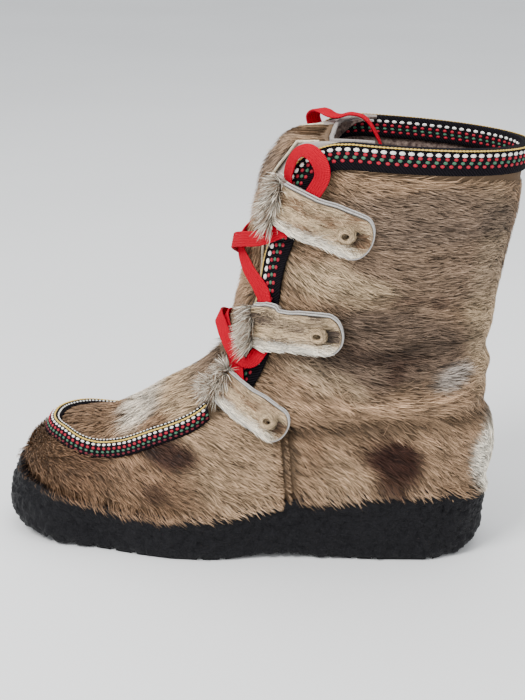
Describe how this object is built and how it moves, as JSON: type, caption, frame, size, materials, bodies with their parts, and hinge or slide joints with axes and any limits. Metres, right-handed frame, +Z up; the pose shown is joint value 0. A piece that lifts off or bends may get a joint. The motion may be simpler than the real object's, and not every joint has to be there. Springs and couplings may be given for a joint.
{
  "type": "winter boot",
  "caption": "Left winter boot of short fur with a braided moccasin front, folded lace tabs, a flat red lace and a black rubber sole.",
  "frame": {"origin": "on the floor, under the middle of the boot's bounding box", "axes": "-Y towards the toe, +Y towards the heel, +X towards the outer side of the left foot, +Z up"},
  "size_m": [0.1067, 0.3154, 0.2618],
  "materials": {
    "rubber": "matt black crepe rubber",
    "fur": "brown short hair on hide",
    "pale_fur": "straw coloured short hair on hide",
    "felt": "grey wool felt",
    "braid": "black woven braid with rows of coloured beads of thread",
    "lace": "flat red ribbed lace",
    "knob": "fur pulled in by a stitch"
  },
  "bodies": {
    "root": {"sole": "rubber", "upper": "fur", "insole": "felt", "tongue": "fur", "vamp_braid": "braid", "edge_braid": "braid", "tab_outer_low": "pale_fur", "tab_outer_mid": "pale_fur", "tab_outer_top": "pale_fur", "tab_inner_low": "pale_fur", "tab_inner_mid": "pale_fur", "tab_inner_top": "pale_fur", "knob_outer_low": "knob", "knob_outer_mid": "knob", "knob_outer_top": "knob", "knob_inner_low": "knob", "knob_inner_mid": "knob", "knob_inner_top": "knob", "lace_upper_over": "lace", "lace_upper_under": "lace", "lace_lower_over": "lace", "lace_lower_under": "lace", "lace_end_outer": "lace", "lace_end_inner": "lace"}
  },
  "joints": []
}
